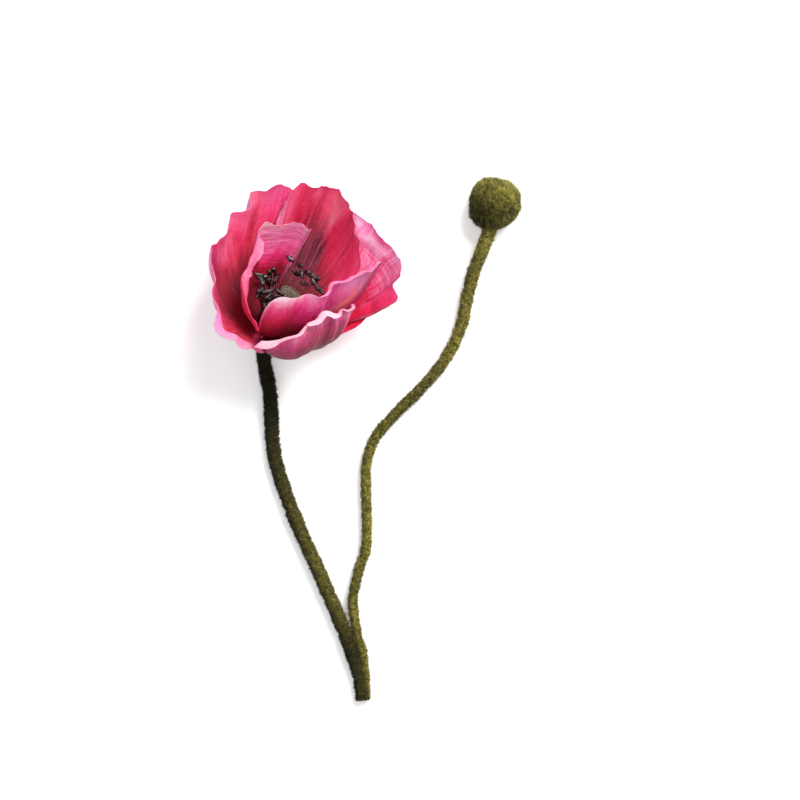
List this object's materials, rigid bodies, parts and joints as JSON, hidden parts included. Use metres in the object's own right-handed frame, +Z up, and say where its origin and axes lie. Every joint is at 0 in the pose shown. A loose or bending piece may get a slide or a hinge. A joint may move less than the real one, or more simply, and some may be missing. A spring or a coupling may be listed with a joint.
{
  "type": "poppy flower",
  "caption": "Poppy flower lying down: a cupped bloom of overlapping waved petals round a seed capsule and stamens, and a round bud, on one forked stem.",
  "frame": {"origin": "under the middle of the flower's bounding box, on the surface that it lies on", "axes": "+Y from the stem's cut end towards the bloom and bud, +X from the bloom towards the bud, +Z up"},
  "size_m": [0.14, 0.2394, 0.0593],
  "materials": {
    "petal_crimson": "satin",
    "petal_rose": "satin",
    "petal_pale": "satin",
    "flocked_stem": "matte",
    "flocked_bud": "matte",
    "stamen_black": "satin",
    "capsule_dark": "matte"
  },
  "bodies": {
    "root": {"main_stem": "flocked_stem", "bud_stem": "flocked_stem", "bud": "flocked_bud", "seed_capsule": "capsule_dark", "stamens": "stamen_black", "petal_outer_left": "petal_crimson", "petal_outer_right": "petal_rose", "petal_outer_front": "petal_pale", "petal_inner_back": "petal_crimson", "petal_inner_left": "petal_rose", "petal_inner_front": "petal_rose"}
  },
  "joints": []
}
